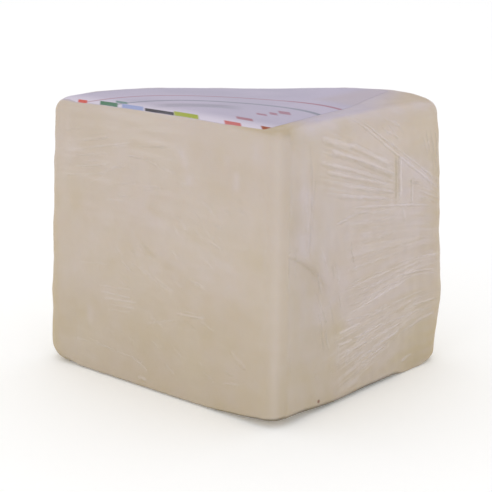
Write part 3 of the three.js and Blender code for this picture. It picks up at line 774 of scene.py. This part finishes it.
def fanStreaks(n, s, z, seed, row):
    # noise of the bearing and, much slower, of the distance from the point the streaks run to; light where
    # it is high and painted shade where it is low, inside a sector of bearings and distances
    toS, toZ, low, high, near, far, often, strength = row
    across, up = n.minus(toS / 1000, s), n.minus(z, toZ / 1000)
    bearing = n.times(n.math("ARCTAN2", up, across), 180 / math.pi)
    reach = n.distance(across, up)
    acrossGrain, alongGrain = film["fanGrain"]
    place = n.add("ShaderNodeCombineXYZ")
    n.put(n.times(bearing, often * acrossGrain), place.inputs[0])
    n.put(n.times(reach, alongGrain), place.inputs[1])
    place.inputs[2].default_value = 7.3 * seed      # another slice of the noise for each fan
    share = n.span(n.noise(1.0, 1.0, place.outputs[0]), 0.38, 0.62, -1.0, 1.0)
    share = n.times(share, between(n, bearing, low, high, 1))
    share = n.times(share, n.span(reach, near / 1000, near / 1000 + film["fanNear"]))
    share = n.times(share, n.span(reach, far / 1000, far / 1000 - film["fanFar"]))
    return n.times(share, strength)


def filmMaterial(name, streaked):
    # lavender haze, with light lines of hazier film and painted highlight, and dark lines of painted
    # shade, mixed in by their share of the whole cover
    n = Nodes(name)
    if streaked:
        haze = n.times(n.attribute("haze"), n.span(n.noise(260, 3), 0.3, 0.7, 0.92, 1.08))
        unrolled = n.add("ShaderNodeUVMap", uv_map="unrolled").outputs[0]
        along, up, _ = n.split(unrolled)
        # faint brushed lines, mostly high on the left cut
        brush = n.add("ShaderNodeMapping")
        brush.inputs["Rotation"].default_value = (0, 0, math.radians(film["brushTurn"]))
        brush.inputs["Scale"].default_value = film["brushScale"]
        n.put(unrolled, brush.inputs[0])
        grain = n.noise(1.0, 2.0, brush.outputs[0])
        lines = n.span(grain, 0.34, 0.66, -film["brush"], film["brush"])
        onLeft = n.times(n.span(along, *film["brushRise"]), n.span(along, *film["brushFall"]))
        share = n.times(onLeft, n.span(up, *film["brushHeight"]))
        share = n.times(n.plus(share, film["brushLeast"]), n.span(n.noise(24, 2), 0.35, 0.6))
        streak = n.times(lines, share)
        for seed, row in enumerate(film["fans"]):
            streak = n.plus(streak, fanStreaks(n, along, up, seed, row))
        # the light part of the streaks is hazier film with a painted highlight, the dark part painted
        # shade
        light = n.math("MAXIMUM", streak, 0.0)
        dark = n.times(n.math("MINIMUM", streak, 0.0), -film["paintedFoldShadeShare"])
    else:
        haze, light, dark = 0.0, n.attribute("light"), n.attribute("dark")
    cover = n.plus(n.plus(light, dark), haze)
    colour = n.blend(n.math("DIVIDE", light, cover), film["tint"], film["bright"])
    n.set("Base Color", n.blend(n.math("DIVIDE", dark, cover), colour, film["paintedFoldShade"]))
    n.set("Alpha", n.math("MINIMUM", n.math("MAXIMUM", cover, 0.01), film["thickest"]))
    n.set("Roughness", 0.3)
    n.set("IOR", 1.6)
    return n.material


def scratchLines(zones, seed):
    # short lines scattered evenly in boxes on a cut, with some scatter in slope, length and strength
    rng = np.random.default_rng(seed)
    lines = []
    for low, high, foot, top, slope, length, count, strength in zones:
        a, z = rng.uniform(low, high, count), rng.uniform(foot, top, count)
        half = length * rng.uniform(0.3, 0.65, count)[:, None]
        half = half * unit(np.radians(slope + rng.normal(0, 6, count)))
        power = strength * rng.uniform(0.6, 1.2, count) * np.where(rng.uniform(size=count) < 0.3, -1, 1)
        lines.append(np.stack([a - half[:, 0], z - half[:, 1], a + half[:, 0], z + half[:, 1],
                               rng.uniform(0.4, 0.8, count), power], -1))
    return np.concatenate(lines)


def foldLines(col):
    # ends of all folds in metres along the outline and up, with half width, strength and the width's
    # share at the first end: rays of the fans at even bearings with some scatter, narrow towards their
    # point, then the single streaks and scratches of both cuts
    rng = np.random.default_rng(11)
    lines = []
    for toS, toZ, low, high, near, far, count, strength, width in film["folds"]:
        bearing = np.arange(count) + rng.uniform(0.2, 0.8, count)
        bearing = np.radians(low + (high - low) * bearing / count)
        start, end = near + rng.uniform(0, 9, count), far - rng.uniform(0, 12, count)
        half, power = width * rng.uniform(0.7, 1.3, count), strength * rng.uniform(0.55, 1.1, count)
        lines.append(np.stack([toS - start * np.cos(bearing), toZ + start * np.sin(bearing),
                               toS - end * np.cos(bearing), toZ + end * np.sin(bearing), half, power,
                               start / end], -1))
    left = np.concatenate([film["leftStreaks"], scratchLines(film["leftScratches"], 13)])
    left[:, 5] *= film["leftPower"]
    left[:, (0, 2)] = (col["ends"][4] + 2 * tipStart) * 1000 - left[:, (0, 2)]
    single = np.concatenate([film["rightStreaks"], scratchLines(film["rightScratches"], 14), left])
    turned = single[:, 2] > single[:, 0]        # all run the same way, so that their upper sides agree
    single[turned] = single[turned][:, (2, 3, 0, 1, 4, 5)]
    lines = np.concatenate(lines + [np.insert(single, 6, 1.0, 1)])
    lines[:, (0, 2)] -= tipStart * 1000
    return lines * np.array((0.001, 0.001, 0.001, 0.001, 0.001, 1.0, 1.0))


def wallPoint(dense, s, z, lift):
    # point of the film at a place along the outline and a height, on wall or rounded edge
    def pick(grid):
        return np.interp(s, dense["place"], grid, period=dense["ends"][-1])

    numbers = ("reach", "lean", "swell", "bulge", "topRound", "footRound", "rind")
    at = {key: pick(dense[key]) for key in numbers}
    at["point"] = np.stack([pick(dense["point"][:, 0]), pick(dense["point"][:, 1])], -1)
    at["normal"] = np.stack([pick(dense["normal"][:, 0]), pick(dense["normal"][:, 1])], -1)
    up = np.arcsin(np.clip(1 - (wedge["height"] - z) / at["topRound"], 0, 1))
    down = np.arcsin(np.clip(1 - z / at["footRound"], 0, 1))
    inset = at["topRound"] * (1 - np.cos(up)) + at["footRound"] * (1 - np.cos(down))
    xyz = skin(at, inset, z, up - down, filmOff(s, z, up - down, at["rind"]) + lift)
    raiseFoot(xyz, z)
    return xyz


def makeFolds(material):
    # each fold is a low closed tent along a straight line on the unrolled wall: half width times a cosine
    # across, height times a sine upwards, both falling to nothing at the two ends; its upper side carries
    # a painted highlight and its lower side painted shade
    dense = outlineColumns((160, 60, 160, 60, 160, 60))
    fromS, fromZ, toS, toZ, half, power, narrow = [v[:, None, None] for v in foldLines(dense).T]
    t = np.linspace(0, 1, film["foldRows"])[None, :, None]
    turn = 2 * math.pi * np.arange(film["foldPoints"]) / film["foldPoints"]
    taper = smooth(t / film["foldTaper"]) * smooth((1 - t) / film["foldTaper"])
    length = np.hypot(toS - fromS, toZ - fromZ)
    rng = np.random.default_rng(12)
    beat = rng.uniform(*film["bendLength"], half.shape)
    bend = film["foldBend"] * length * np.sin(t * length / beat + rng.uniform(0, 6, half.shape))
    side = half * (narrow + (1 - narrow) * t) * np.cos(turn) * taper + bend
    s = fromS + (toS - fromS) * t + side * (toZ - fromZ) / length
    z = fromZ + (toZ - fromZ) * t - side * (toS - fromS) / length
    rise = np.maximum(np.sin(turn), -0.3) * taper
    xyz = wallPoint(dense, s, np.clip(z, 0.0005, wedge["height"] - 0.0002), film["foldHeight"] * rise)
    # painted highlight on the upper side of each fold, painted shade on its lower side and along folds of
    # negative strength
    ridge = np.maximum(np.sin(turn), 0) * taper
    upper = smooth(0.5 + np.cos(turn) / 0.9)
    light = np.maximum(power, 0) * ridge * upper
    dark = np.maximum(power, 0) * ridge * (1 - upper) * film["paintedFoldShadeShare"] + np.maximum(-power, 0) * ridge
    piece = ringMesh("film_folds", xyz, dict(light=light, dark=dark))
    finishPiece(piece, material, "film")
    return piece


def makeFilm():
    # the wedge's skin moved off the cheese, unrolled along the outline for its streaks, and the folds
    f = film
    col = outlineColumns(f["columns"])
    inset, z, tilt = bodyRows(col, *f["rows"])
    s = col["place"] + 0 * z
    xyz = skin(col, inset, z, tilt, filmOff(s, z, tilt, col["rind"]))
    raiseFoot(xyz, z)
    haze = filmHaze(col, s, z, tilt, xyz[..., :2])
    around = np.append(col["place"], col["ends"][-1]) + tipStart + 0 * z[:, :1]
    unrolled = np.stack([around, np.concatenate([z, z[:, :1]], 1)], -1)
    wrap = ringMesh("film_wrap", xyz[None], dict(haze=haze[None]), unrolled[None])
    finishPiece(wrap, filmMaterial("clearFilm", True), "film")
    for piece in (wrap, makeFolds(filmMaterial("filmFold", False))):
        piece.visible_shadow = False        # film this thin takes no light from what it covers
        piece.visible_diffuse = False


# floor, light and camera
studio = dict(
    floor=(0.96, 0.96, 0.96, 1), floorSize=8.0, floorGlow=0.12,
    world=(1.0, 1.0, 1.0, 1), worldStrength=0.86,
    # lamps: place, size and power
    lamps=(("key", (-1.1, -1.1, 0.9), 0.9, 2.2), ("over", (0.0, 0.3, 1.6), 2.0, 3.0)),
    aimAt=(0.0, 0.0, 0.06))

view = dict(
    azimuth=-3.931, elevation=16.5, distance=0.667484, lens=111.47, sensor=36.0,
    target=(-0.007546, 0.062, 0.061537))        # seen from the tip of the wedge


def aimed(way):
    # turn that points a lamp's or camera's -Z along way with its top up
    flat = math.hypot(way[0], way[1])
    return (math.pi / 2 + math.atan2(way[2], flat), 0.0, math.atan2(way[1], way[0]) - math.pi / 2)


def makeStudio():
    # a pale floor, an even white surround and two large soft lamps
    half = studio["floorSize"] / 2
    mesh = bpy.data.meshes.new("floor")
    corners = [(-half, -half, 0), (half, -half, 0), (half, half, 0), (-half, half, 0)]
    mesh.from_pydata(corners, [], [(0, 1, 2, 3)])
    floor = bpy.data.objects.new("floor", mesh)
    bpy.context.collection.objects.link(floor)
    n = Nodes("floorPaint")
    n.set("Base Color", studio["floor"])
    n.set("Roughness", 0.8)
    n.set("Emission Color", (1, 1, 1, 1))
    n.set("Emission Strength", studio["floorGlow"])
    mesh.materials.append(n.material)
    world = bpy.data.worlds.new("studioLight")
    world.use_nodes = True
    world.node_tree.nodes["Background"].inputs[0].default_value = studio["world"]
    world.node_tree.nodes["Background"].inputs[1].default_value = studio["worldStrength"]
    bpy.context.scene.world = world
    for name, spot, size, power in studio["lamps"]:
        lamp = bpy.data.lights.new(name, "AREA")
        lamp.shape, lamp.size, lamp.energy = "SQUARE", size, power
        lampObject = bpy.data.objects.new(name, lamp)
        lampObject.location = spot
        lampObject.rotation_euler = aimed(np.array(studio["aimAt"]) - spot)
        bpy.context.collection.objects.link(lampObject)
    bpy.context.scene.view_settings.view_transform = "Standard"


def makeCamera():
    # camera at a distance from its target, at an azimuth around it and an elevation over the floor
    turn, rise = math.radians(view["azimuth"]), math.radians(view["elevation"])
    back = np.array((math.sin(turn) * math.cos(rise), -math.cos(turn) * math.cos(rise), math.sin(rise)))
    camera = bpy.data.cameras.new("photoView")
    camera.lens, camera.sensor_width = view["lens"], view["sensor"]
    camera.clip_start = 0.05
    shot = bpy.data.objects.new("photoView", camera)
    shot.location = np.array(view["target"]) + toFrame + view["distance"] * back
    shot.rotation_euler = aimed(-back)
    bpy.context.collection.objects.link(shot)
    bpy.context.scene.camera = shot


makeCamera()
makeCheese()
makeLabel()
makeFilm()
makeStudio()
print("pieces made")
